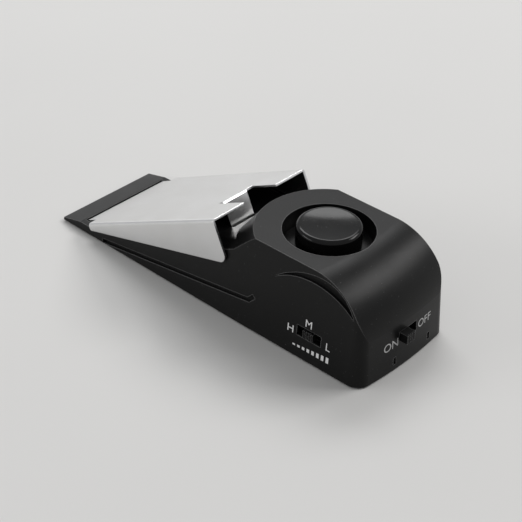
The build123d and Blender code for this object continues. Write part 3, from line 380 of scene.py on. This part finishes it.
# %% Bright metals
def rolled_steel(name, level, roughness, line_length, line_width, line_depth, edge_radius):
    sheet = Finish(name, {"Roughness": roughness, "Metallic": 1.0})
    lengthwise = sheet.along(uphill) * (line_width / line_length)
    directions = {0: lengthwise, 1: sheet.along(ACROSS), 2: sheet.along(square)}
    stretched = sheet.node("ShaderNodeCombineXYZ", {}, directions)
    lines = sheet.noise(line_width, detail=4.0, place=stretched)
    bands = sheet.noise(line_width * BAND_WIDTH, place=stretched)
    stain = sheet.noise(STAIN_SIZE, detail=4.0)
    rounding = sheet.rounded(edge_radius)
    rubbed = sheet.edges(rounding)
    stained = tuple(level * share for share in STAINED) + (1,)
    tone = sheet.blend(stain, stained, (level, level, level * CLEAN_BLUE, 1))
    # the brighter edge tone is partly newly cut metal and partly a painted highlight
    cut_edge_and_highlight_grey = grey(min(1.0, level * CUT_EDGE_AND_HIGHLIGHT["gain"]))
    tone = sheet.blend(rubbed * CUT_EDGE_AND_HIGHLIGHT["share"], tone, cut_edge_and_highlight_grey)
    gloss = sheet.swing(lines, UNEVEN["lines"]) + sheet.swing(bands, UNEVEN["bands"])
    gloss = gloss + sheet.swing(stain, UNEVEN["stain"]) + rubbed * UNEVEN["rubbed"] + roughness
    return sheet.finish(tone, gloss, lines + bands * BAND_RELIEF, line_depth, rounding)


metals = {
    # slot: name, level, roughness, and in mm a line's length, width, depth and the edge radius
    "plate_steel": ("rolled_plate_steel", 0.72, 0.22, 25, 0.05, 0.0016, 0.30),
    "pin_steel": ("turned_pin_steel", 0.50, 0.30, 0.3, 0.08, 0.001, 0.08),
    "spring_steel": ("drawn_spring_steel", 0.46, 0.32, 2, 0.05, 0.001, 0.04),
    "screw_steel": ("plated_screw_steel", 0.42, 0.34, 0.6, 0.10, 0.002, 0.08),
    "terminal_metal": ("nickel_terminals", 0.62, 0.22, 1, 0.10, 0.001, 0.10),
    "capacitor_can": ("capacitor_can", 0.55, 0.35, 1, 0.10, 0.001, 0.10),
}
for slot, (name, level, roughness, *lengths) in metals.items():
    finishes[slot] = rolled_steel(name, level, roughness, *(length * MM for length in lengths))
print("metals:", sorted(metals))

# %% [markdown]
# ## Brass
#
# The disc of the sounder and the can of the vibration sensor are thin brass. Brass tarnishes in
# clouds, which could be painted, but a slow noise does it: it goes from a brown to a yellow tone,
# and the gloss changes with it. One recipe is enough for both, because they differ in gloss alone.

# %% Brass parts of the sounder and the sensor
BRASS_BROWN = (0.60, 0.42, 0.18, 1)
BRASS_YELLOW = (0.72, 0.55, 0.27, 1)
TARNISH_SIZE, TARNISH_GLOSS = 4 * MM, 0.25
TURNING_SIZE, TURNING_DEPTH = 0.15 * MM, 0.0015 * MM
SMALL_EDGE = 0.08 * MM


def brass(name, roughness):
    disc = Finish(name, {"Roughness": roughness, "Metallic": 1.0})
    stain = disc.noise(TARNISH_SIZE, detail=5.0)
    lines = disc.noise(TURNING_SIZE, detail=3.0)
    tone = disc.blend(stain, BRASS_BROWN, BRASS_YELLOW)
    gloss = disc.swing(stain, TARNISH_GLOSS) + roughness
    return disc.finish(tone, gloss, lines, TURNING_DEPTH, disc.rounded(SMALL_EDGE))


brasses = {"piezo_brass": ("sounder_brass", 0.32), "sensor_can": ("sensor_brass", 0.28)}
for slot, (name, roughness) in brasses.items():
    finishes[slot] = brass(name, roughness)
print("brass:", sorted(brasses))

# %% [markdown]
# ## Soft soles
#
# Two thin soles keep the wedge from sliding. Such rubber is moulded with fine ribs across the way
# it would slide. Real ribs would be hundreds of faces that hardly show, so a wave along the length
# gives them as relief. Rubber picks up dust in patches, which a noise adds as a greyer, duller
# tone.

# %% Ribbed rubber
RIB_SIZE, RIB_DEPTH = 4.6 * MM, 0.10 * MM
WAVE_PERIOD = 0.314  # a wave repeats after this share of its size
CLEAN_RUBBER, DUSTY_RUBBER = grey(0.016), grey(0.045)
DUST_PATCH, DUSTY_WHERE = 6 * MM, (0.45, 0.75)
RUBBER_ROUGHNESS, DUST_ROUGHNESS = 0.68, 0.15
PORE_SIZE, PORE_RELIEF = 0.3 * MM, 0.25
SOLE_EDGE = 0.12 * MM
sole = Finish("ribbed_sole_rubber", {"Roughness": 0.75, "Sheen Weight": 0.08})
wave = {"wave_type": "BANDS", "bands_direction": "X", "wave_profile": "SIN"}
wave_sockets = {"Vector": sole.place, "Scale": 1 / RIB_SIZE, "Distortion": 0.0}
ribs = sole.node("ShaderNodeTexWave", wave, wave_sockets, "Fac")
dusty = sole.stepped(sole.noise(DUST_PATCH, detail=4.0), *DUSTY_WHERE)
sole_tone = sole.blend(dusty, CLEAN_RUBBER, DUSTY_RUBBER)
sole_gloss = dusty * DUST_ROUGHNESS + RUBBER_ROUGHNESS
sole_relief = ribs + sole.noise(PORE_SIZE) * PORE_RELIEF
sole_rounding = sole.rounded(SOLE_EDGE)
finishes["sole_rubber"] = sole.finish(
    sole_tone, sole_gloss, sole_relief, RIB_DEPTH, sole_rounding
)
print("ribs about", round(WAVE_PERIOD * RIB_SIZE / MM, 1), "mm apart")

# %% [markdown]
# ## Inside: the battery
#
# The battery shows only when its door stands open, yet it has its own finish. Its jacket is
# printed sheet metal in two tones, with a pale line between them. They could be three pieces, but
# print has no thickness to speak of, so masks along the length part the tones in one material.
# A thin clear coat and a few scuffs make it metal that has been handled.

# %% Battery jacket
COLLAR_LENGTH, COLLAR_BLUR = 11 * MM, 0.15 * MM
LINE_BEGINS, LINE_FULL = 1.2 * MM, 1.1 * MM  # how far ahead of the collar
ALONG_LENGTH = (1, 0, 0)
JACKET_DARK = (0.035, 0.045, 0.06, 1)
JACKET_COPPER = (0.42, 0.25, 0.11, 1)
LINE_GREY, SCUFF_GREY = grey(0.55), grey(0.35)
SCUFF_SIZE, SCUFFED_WHERE, SCUFF_SHARE = 1.2 * MM, (0.60, 0.75), 0.35
PRINT_ROUGHNESS, SCUFF_ROUGHNESS = 0.30, 0.25
DENT_SIZE, DENT_DEPTH = 0.5 * MM, 0.006 * MM
JACKET_EDGE = 0.3 * MM
coated_metal = {"Roughness": 0.33, "Metallic": 0.35, "Coat Weight": 0.4}
jacket = Finish("two_tone_battery_jacket", coated_metal)
collar_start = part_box("battery_case")[1].x - COLLAR_LENGTH
lengthwise = jacket.along(ALONG_LENGTH)
collar = jacket.stepped(lengthwise, collar_start, collar_start + COLLAR_BLUR)
ahead = jacket.stepped(lengthwise, collar_start - LINE_BEGINS, collar_start - LINE_FULL)
scuffed = jacket.stepped(jacket.noise(SCUFF_SIZE, detail=5.0), *SCUFFED_WHERE)
jacket_tone = jacket.blend(collar, JACKET_DARK, JACKET_COPPER)
jacket_tone = jacket.blend(ahead - collar, jacket_tone, LINE_GREY)
jacket_tone = jacket.blend(scuffed * SCUFF_SHARE, jacket_tone, SCUFF_GREY)
jacket_gloss = scuffed * SCUFF_ROUGHNESS + PRINT_ROUGHNESS
dents = jacket.noise(DENT_SIZE, detail=3.0)
finishes["battery_jacket"] = jacket.finish(
    jacket_tone, jacket_gloss, dents, DENT_DEPTH, jacket.rounded(JACKET_EDGE)
)
print("the collar begins at X", round(collar_start / MM, 2), "mm")

# %% [markdown]
# ## Inside: the board
#
# The board's green lacquer is thin, so the copper below shows as slightly raised, paler tracks.
# Each track could be drawn, but nothing of a drawing would be seen at this size. The edges of a
# cell pattern give lines that meet and part in the same way.

# %% Circuit board
TRACK_CELL, TRACK_EDGE, TRACK_DEPTH = 3.4 * MM, (0.05, 0.09), 0.03 * MM
LACQUER_GREEN = (0.010, 0.085, 0.030, 1)
TRACK_GREEN = (0.045, 0.19, 0.065, 1)
LACQUER_DARK = (0.006, 0.05, 0.02, 1)
DARK_CLOUD, DARK_SHARE = 7 * MM, 0.3
GLOSS_CLOUD, LACQUER_ROUGHNESS, CLOUD_ROUGHNESS = 3 * MM, 0.24, 0.12
WEAVE_SIZE, WEAVE_RELIEF = 0.3 * MM, 0.2
board = Finish("green_lacquered_board", {"Roughness": 0.30, "Coat Weight": 0.3})
cell_sockets = {"Vector": board.place, "Scale": 1 / TRACK_CELL}
cell_edge = {"feature": "DISTANCE_TO_EDGE"}
cells = board.node("ShaderNodeTexVoronoi", cell_edge, cell_sockets, "Distance")
track = 1 - board.stepped(cells, *TRACK_EDGE)
darker_cloud = board.noise(DARK_CLOUD, detail=3.0) * DARK_SHARE
board_tone = board.blend(track, LACQUER_GREEN, TRACK_GREEN)
board_tone = board.blend(darker_cloud, board_tone, LACQUER_DARK)
board_gloss = board.noise(GLOSS_CLOUD) * CLOUD_ROUGHNESS + LACQUER_ROUGHNESS
board_relief = track + board.noise(WEAVE_SIZE) * WEAVE_RELIEF
finishes["board_laminate"] = board.finish(board_tone, board_gloss, board_relief, TRACK_DEPTH)
print("tracks in cells of", round(TRACK_CELL / MM, 1), "mm")

# %% [markdown]
# ## Inside: leads and small parts
#
# The wire covers, the plunger, the ceramic and the resistors are plain moulded or coated pieces.
# A single colour would look like a diagram, so one small recipe gives each a little unevenness in
# tone, gloss and surface, and the table gives the rest.

# %% Leads and small parts
UNEVEN_SIZE, UNEVEN_ROUGHNESS = 3 * MM, 0.2
DARKER = 0.72


def plain_part(name, tone, roughness, grain_size, grain):
    part = Finish(name, {"Roughness": roughness})
    uneven = part.noise(UNEVEN_SIZE, detail=4.0)
    darker = tuple(DARKER * v for v in tone) + (1.0,)
    colour = part.blend(uneven, darker, tuple(tone) + (1.0,))
    gloss = part.swing(uneven, UNEVEN_ROUGHNESS) + roughness
    return part.finish(colour, gloss, part.noise(grain_size), grain, part.rounded(SMALL_EDGE))


small_parts = {
    # slot: name, colour, roughness, size and depth of the grain in mm
    "lead_red": ("red_wire_cover", (0.42, 0.012, 0.010), 0.42, 0.6, 0.01),
    "lead_black": ("black_wire_cover", (0.016, 0.016, 0.016), 0.42, 0.6, 0.01),
    "lead_grey": ("grey_wire_cover", (0.22, 0.22, 0.23), 0.42, 0.6, 0.01),
    "plunger_plastic": ("pale_plunger", (0.62, 0.60, 0.54), 0.38, 0.3, 0.005),
    "piezo_ceramic": ("silvered_ceramic", (0.66, 0.65, 0.61), 0.45, 0.2, 0.004),
    "resistor_body": ("chip_resistor", (0.03, 0.03, 0.035), 0.35, 0.2, 0.004),
}
for slot, (name, tone, roughness, grain_size, grain) in small_parts.items():
    finishes[slot] = plain_part(name, tone, roughness, grain_size * MM, grain * MM)
print("small parts:", sorted(small_parts))

# %% [markdown]
# ## A finish for every solid
#
# Each solid comes with a plain stand-in material and with the name of the finish that it should
# have. A solid could be given its finish by its own name, but the record already lists one slot
# for each, so one loop does all of them, and none is missed.

# %% Give every solid its finish
for part in frame["record"]["subparts"]:
    mesh = frame["nodes"][part["node"]].data
    mesh.materials.clear()
    mesh.materials.append(finishes[part["material_slot"]])

# %% [markdown]
# ## The springs get meshes of their own
#
# Two coil springs stand between the housing and the plate. Their feet rest in cups in the
# housing and their heads press against the plate, so each belongs to two moving bodies at once.
# A rigid copy would poke through the plate when it goes down. A blend, in which points near the
# foot follow the housing and points near the head follow the plate, would let the curls close up,
# but none is made here: each solid spring is only copied to a mesh of its own, with its place
# baked in, and the solid is hidden.

# %% Each spring copied to a mesh of its own
for side in ("near", "far"):
    solid_name = "plate_spring_" + side
    spring_mesh = frame["nodes"][solid_name].data.copy()
    spring = bpy.data.objects.new("coil_spring_" + side, spring_mesh)
    bpy.context.scene.collection.objects.link(spring)
    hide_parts(solid_name)
    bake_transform(spring)

# %% [markdown]
# ## What is printed on the housing
#
# White marks stand beside the two switches: H, M and L round the three-step one, and ON and OFF
# beside the one at the rear. Below the three-step switch a row of rising bars says what it does.
# The print is a film, about two hundredths of a millimetre thick. A mask in the plastic would need
# a picture of the letters, so each mark is a thin mesh of its own. It starts flat, and its points
# are then laid on the wall. The near wall leans inwards and is flat. The rear wall leans too and
# is bowed, so each point's X comes from the bow's own arc.

# %% The walls as formulas
HALF_WIDTH = 22.5 * MM
TOP_INSET = 2.2 * MM
HEIGHT = 34.9 * MM
REAR_X = 68.606 * MM
REAR_BULGE = 1.6 * MM
lean = atan2(TOP_INSET, HEIGHT)
bow_radius = (HALF_WIDTH**2 + REAR_BULGE**2) / (2 * REAR_BULGE)


def on_near_wall(across, up, out):
    """A point of the near wall: across is X, up is the height Z."""
    return Vector((across, -(HALF_WIDTH - up * TOP_INSET / HEIGHT) - out, up + out * sin(lean)))


def on_rear_wall(across, up, out):
    """A point of the rear wall: across is Y, up is the height Z."""
    bow = sqrt((bow_radius - up * TOP_INSET / HEIGHT) ** 2 - across**2)
    return Vector((REAR_X - bow_radius + bow + out, across, up + out * sin(lean)))


print("walls lean", round(degrees(lean), 1), "degrees; the bow's radius is", round(bow_radius, 3))

# %% [markdown]
# ## White ink
#
# The marks are printed in white ink that lets some black through. The marks on the rear wall take
# a darker copy of the same ink, which is painted shade. A plain white would glow on black plastic,
# so the ink is a light grey, and a fine noise thins it in small spots.

# %% White ink, and a darker copy of it with painted shade for the rear wall
WORN_SIZE, WORN_WHERE, WORN_SHARE = 0.35 * MM, (0.60, 0.72), 0.45
WORN_LEVEL = 0.42  # what is left of the ink's level there
INK_ROUGHNESS, WORN_ROUGHNESS = 0.5, 0.1
INK_GRAIN_SIZE, INK_GRAIN = 0.12 * MM, 0.003 * MM


def print_ink(name, level):
    ink = Finish(name, {"Roughness": 0.55})
    worn = ink.stepped(ink.noise(WORN_SIZE, detail=4.0), *WORN_WHERE)
    ink_tone = ink.blend(worn * WORN_SHARE, grey(level), grey(level * WORN_LEVEL))
    ink_gloss = worn * WORN_ROUGHNESS + INK_ROUGHNESS
    return ink.finish(ink_tone, ink_gloss, ink.noise(INK_GRAIN_SIZE), INK_GRAIN)


inks = {
    on_near_wall: print_ink("white_print", 0.72),
    # the rear wall's marks: the same ink painted darker, as painted shade
    on_rear_wall: print_ink("shaded_white_print", 0.42),
}
print("inks:", [ink.name for ink in inks.values()])

# %% [markdown]
# ## A film on a wall
#
# A flat outline becomes a closed film in two steps. Extruding doubles its faces, and then every
# point goes onto the wall by the wall's own formula, the doubled ones a little outside it and the
# others as far inside. A Shrinkwrap modifier could lay the film as well, but the formula needs no
# finely cut wall, and the film sinks into the wall by the same amount everywhere, with no gap
# below it. Extruding leaves the faces in another order each time, so they are sorted at the end,
# and the notebook makes the same mesh on every run.

# %% Lay a film
FILM = 0.02 * MM
SAME_POINT = 0.001 * MM


def lay_film(name, outline, wall):
    """Lay a flat mesh on a wall as a thin closed film."""
    shape = bmesh.new()
    shape.from_mesh(outline)
    bmesh.ops.remove_doubles(shape, verts=shape.verts, dist=SAME_POINT)
    top = bmesh.ops.extrude_face_region(shape, geom=shape.faces[:])
    raised = {v for v in top["geom"] if isinstance(v, bmesh.types.BMVert)}
    for vertex in shape.verts:
        vertex.co = wall(vertex.co.x, vertex.co.y, FILM if vertex in raised else -FILM)
    bmesh.ops.recalc_face_normals(shape, faces=shape.faces[:])
    shape.verts.index_update()
    points = [vertex.co[:] for vertex in shape.verts]
    faces = sorted([vertex.index for vertex in face.verts] for face in shape.faces)
    shape.free()
    mesh = bpy.data.meshes.new(name)
    mesh.from_pydata(points, [], faces)
    mesh.materials.append(inks[wall])
    piece = bpy.data.objects.new(name, mesh)
    bpy.context.scene.collection.objects.link(piece)
    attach(piece, "housing")
    return piece


print("films stand", FILM / MM, "mm proud")

# %% [markdown]
# ## Letters
#
# A letter could be drawn point by point, but a text curve already knows the outlines. It is
# turned into a mesh at once, moved to its middle and scaled to the height that the print has, and
# the curve is thrown away.

# %% The outline of a few letters
ARC_STEPS = 6


def letter_outline(words, centre, cap_height, widen):
    """The flat outline of some letters, centred, as tall as asked."""
    curve = bpy.data.curves.new("lettering", "FONT")
    curve.body = words
    curve.resolution_u = ARC_STEPS
    holder = bpy.data.objects.new("lettering", curve)
    bpy.context.scene.collection.objects.link(holder)
    bpy.context.view_layer.update()
    drawn = holder.evaluated_get(bpy.context.evaluated_depsgraph_get())
    mesh = bpy.data.meshes.new_from_object(drawn)
    bpy.data.objects.remove(holder)
    bpy.data.curves.remove(curve)
    xs = [v.co.x for v in mesh.vertices]
    ys = [v.co.y for v in mesh.vertices]
    scale = cap_height / (max(ys) - min(ys))
    for v in mesh.vertices:
        v.co.x = (v.co.x - (max(xs) + min(xs)) / 2) * scale * widen + centre[0]
        v.co.y = (v.co.y - (max(ys) + min(ys)) / 2) * scale + centre[1]
        v.co.z = 0
    return mesh


print("each arc of a letter has", ARC_STEPS, "steps")

# %% Letters beside the switches
letters = [
    # piece, letters, middle and height in mm, how much wider than drawn, wall
    ("mark_high", "H", (38.4, 9.9), 2.7, 1.05, on_near_wall),
    ("mark_middle", "M", (45.5, 14.7), 2.7, 1.0, on_near_wall),
    ("mark_low", "L", (53.8, 10.2), 2.7, 1.0, on_near_wall),
    ("mark_on", "ON", (-7.9, 10.7), 3.0, 1.05, on_rear_wall),
    ("mark_off", "OFF", (9.3, 11.6), 2.9, 1.0, on_rear_wall),
]
for name, words, (across, up), cap_height, widen, wall in letters:
    outline = letter_outline(words, (across * MM, up * MM), cap_height * MM, widen)
    piece = lay_film(name, outline, wall)
    print(name, "laid,", len(piece.data.polygons), "faces")

# %% [markdown]
# ## Rising bars
#
# Eight bars that grow from left to right say that the three-step switch sets more or less. They
# could be eight pieces, but they are one print, so a loop gives their corners in one mesh, and
# the same film is laid.

# %% Rising bars under the three-step switch
BAR_COUNT = 8
BARS_LEFT, BARS_LOW = 39.8, 4.3  # in mm, as the next four are
BAR_STEP, BAR_WIDTH, BAR_SHORTEST, BAR_RISE = 1.95, 1.05, 0.6, 0.22
corners = []
for bar in range(BAR_COUNT):
    left = (BARS_LEFT + BAR_STEP * bar) * MM
    right = left + BAR_WIDTH * MM
    low = BARS_LOW * MM
    high = low + (BAR_SHORTEST + BAR_RISE * bar) * MM
    corners += [(left, low, 0), (right, low, 0), (right, high, 0), (left, high, 0)]
bars = bpy.data.meshes.new("bars_flat")
bars.from_pydata(corners, [], [tuple(range(4 * bar, 4 * bar + 4)) for bar in range(BAR_COUNT)])
lay_film("mark_bars", bars, on_near_wall)
print(BAR_COUNT, "bars laid")

# %% [markdown]
# ## Floor
#
# The object stands on a plain pale floor. A curved backdrop could hide where it ends, but a
# single face, wide enough to fill the picture from any side, needs none. A perfectly even floor
# looks drawn, so a slow, faint noise changes its tone.

# %% Floor
FLOOR_HALF = 3.0
FLOOR_CLOUD = 0.25
FLOOR_DARK = (0.62, 0.615, 0.605, 1)
FLOOR_LIGHT = (0.68, 0.675, 0.665, 1)
floor_signs = [(-1, -1), (1, -1), (1, 1), (-1, 1)]
floor_corners = [(x * FLOOR_HALF, y * FLOOR_HALF, 0) for x, y in floor_signs]
floor_mesh = bpy.data.meshes.new("studio_floor")
floor_mesh.from_pydata(floor_corners, [], [(0, 1, 2, 3)])
floor_finish = Finish("pale_floor", {"Roughness": 0.65})
floor_cloud = floor_finish.noise(FLOOR_CLOUD, detail=3.0)
floor_tone = floor_finish.blend(floor_cloud, FLOOR_DARK, FLOOR_LIGHT)
floor_mesh.materials.append(floor_finish.finish(floor_tone))
floor = bpy.data.objects.new("studio_floor", floor_mesh)
bpy.context.scene.collection.objects.link(floor)
print("floor", 2 * FLOOR_HALF, "m wide")

# %% [markdown]
# ## Lamps
#
# Four soft lamps light the object. One strong lamp would be simpler, but black plastic shows its
# form by what it mirrors, and each lamp lays one such light on it. Seen from the near side, the
# window lamp is far behind on the right and lays a broad band of light over the bend of the
# housing. The ceiling lamp is high behind on the left, where only rounded rims mirror it towards
# the camera, so it draws the thin line round the siren cap. The strip lamp is low in front on the
# left and gives the same rim its second band. The panel lamp is far left, where the steel plate
# mirrors it. All four are wide and weak, because bright steel turns plain white under a strong
# lamp.


# %% Lamps
def soft_lamp(name, place, size, watts, blue):
    """A wide lamp aimed at the origin. Blue is its share of blue, and green is half way to it."""
    lamp = bpy.data.lights.new(name, "AREA")
    lamp.shape = "RECTANGLE"
    lamp.size, lamp.size_y = size
    lamp.energy = watts
    lamp.color = (1.0, 0.5 + 0.5 * blue, blue)
    holder = bpy.data.objects.new(name, lamp)
    holder.location = place
    holder.rotation_euler = (-Vector(place)).to_track_quat("-Z", "Y").to_euler()
    holder.visible_camera = False
    bpy.context.scene.collection.objects.link(holder)


lamps = [
    # name, place and size in metres, watts, share of blue
    ("window_lamp", (0.72, 1.08, 1.12), (0.9, 0.5), 12.0, 0.98),
    ("ceiling_lamp", (-0.82, 0.80, 1.28), (1.2, 0.5), 10.5, 1.0),
    ("strip_lamp", (-0.80, -1.12, 0.48), (0.9, 0.25), 5.0, 1.0),
    ("panel_lamp", (-1.55, 1.20, 0.30), (1.3, 0.7), 1.6, 1.0),
]
for lamp_facts in lamps:
    soft_lamp(*lamp_facts)
print("lamps of", [watts for _, _, _, watts, _ in lamps], "watts")

# %% [markdown]
# ## Sky
#
# An even pale sky fills the shadows. A picture of real surroundings would give richer
# reflections, but a plain sky keeps the finishes easy to judge. The Light Path node tells which
# rays reach the sky. It is brighter to rays from the camera, from gloss and through glass, so
# that metal mirrors the same pale background that the camera sees, and weaker to the rays that
# only carry light, so that it doesn't wash the lamps out. The largest of three values has no sign
# in Python, so those Math nodes are asked for by name. The Standard view shows each colour about
# as it is written.

# %% World
SKY_COLOUR = (0.66, 0.665, 0.67, 1)
SKY_AS_LIGHT, SKY_AS_SEEN = 0.60, 0.95
world = bpy.data.worlds.new("studio_air")
bpy.context.scene.world = world
world.use_nodes = True
air = Nodes(world.node_tree)
seen = air.node("ShaderNodeLightPath", {}, {}, "Is Camera Ray")
for kind_of_ray in ("Is Glossy Ray", "Is Transmission Ray"):
    other = air.node("ShaderNodeLightPath", {}, {}, kind_of_ray)
    seen = air.node("ShaderNodeMath", {"operation": "MAXIMUM"}, {0: seen, 1: other})
sky_range = {"Value": seen, "To Min": SKY_AS_LIGHT, "To Max": SKY_AS_SEEN}
strength = air.node("ShaderNodeMapRange", {}, sky_range, "Result")
background = air.tree.nodes["Background"]
background.inputs["Color"].default_value = SKY_COLOUR
air.tree.links.new(strength.socket, background.inputs["Strength"])
bpy.context.scene.view_settings.view_transform = "Standard"
print("sky of strength", SKY_AS_LIGHT, "as light and", SKY_AS_SEEN, "as seen")

# %% [markdown]
# ## The box of the solids
#
# The box of the solids is measured and printed when they are loaded, and this cell adds nothing
# to it. The finished object may not grow beyond its solids.

# %% The box of the solids, printed above
print("the box of the solids is printed above")
